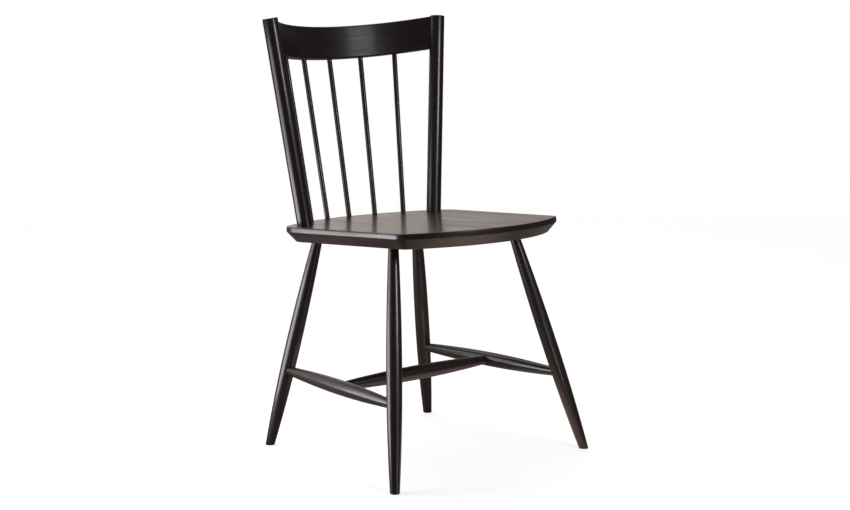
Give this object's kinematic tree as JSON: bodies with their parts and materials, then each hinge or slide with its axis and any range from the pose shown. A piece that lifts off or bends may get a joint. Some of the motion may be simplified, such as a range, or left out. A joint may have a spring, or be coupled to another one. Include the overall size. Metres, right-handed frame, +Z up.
{
  "type": "dining chair",
  "caption": "Wooden dining chair with a bowed plank seat, splayed turned legs, stretchers, round back posts, thin spindles and a curved crest rail.",
  "frame": {"origin": "on the floor, below the centre of the chair's box", "axes": "+Z up; the chair faces -Y, with its back towards +Y; +X is the sitter's left"},
  "size_m": [0.502, 0.548, 0.8381],
  "materials": {
    "dark_stained_wood": "near-black stain under satin lacquer",
    "bare_wood": "bare, glued inside the joints"
  },
  "bodies": {
    "root": {"seat": "dark_stained_wood", "leg_front_left": "dark_stained_wood", "leg_front_right": "dark_stained_wood", "leg_back_left": "dark_stained_wood", "leg_back_right": "dark_stained_wood", "side_stretcher_left": "dark_stained_wood", "side_stretcher_right": "dark_stained_wood", "cross_stretcher": "dark_stained_wood", "back_post_left": "dark_stained_wood", "back_post_right": "dark_stained_wood", "spindle_1": "dark_stained_wood", "spindle_2": "dark_stained_wood", "spindle_3": "dark_stained_wood", "spindle_4": "dark_stained_wood", "spindle_5": "dark_stained_wood", "crest_rail": "dark_stained_wood", "rail_dowel_left_lower": "bare_wood", "rail_dowel_left_upper": "bare_wood", "rail_dowel_right_lower": "bare_wood", "rail_dowel_right_upper": "bare_wood"}
  },
  "joints": []
}
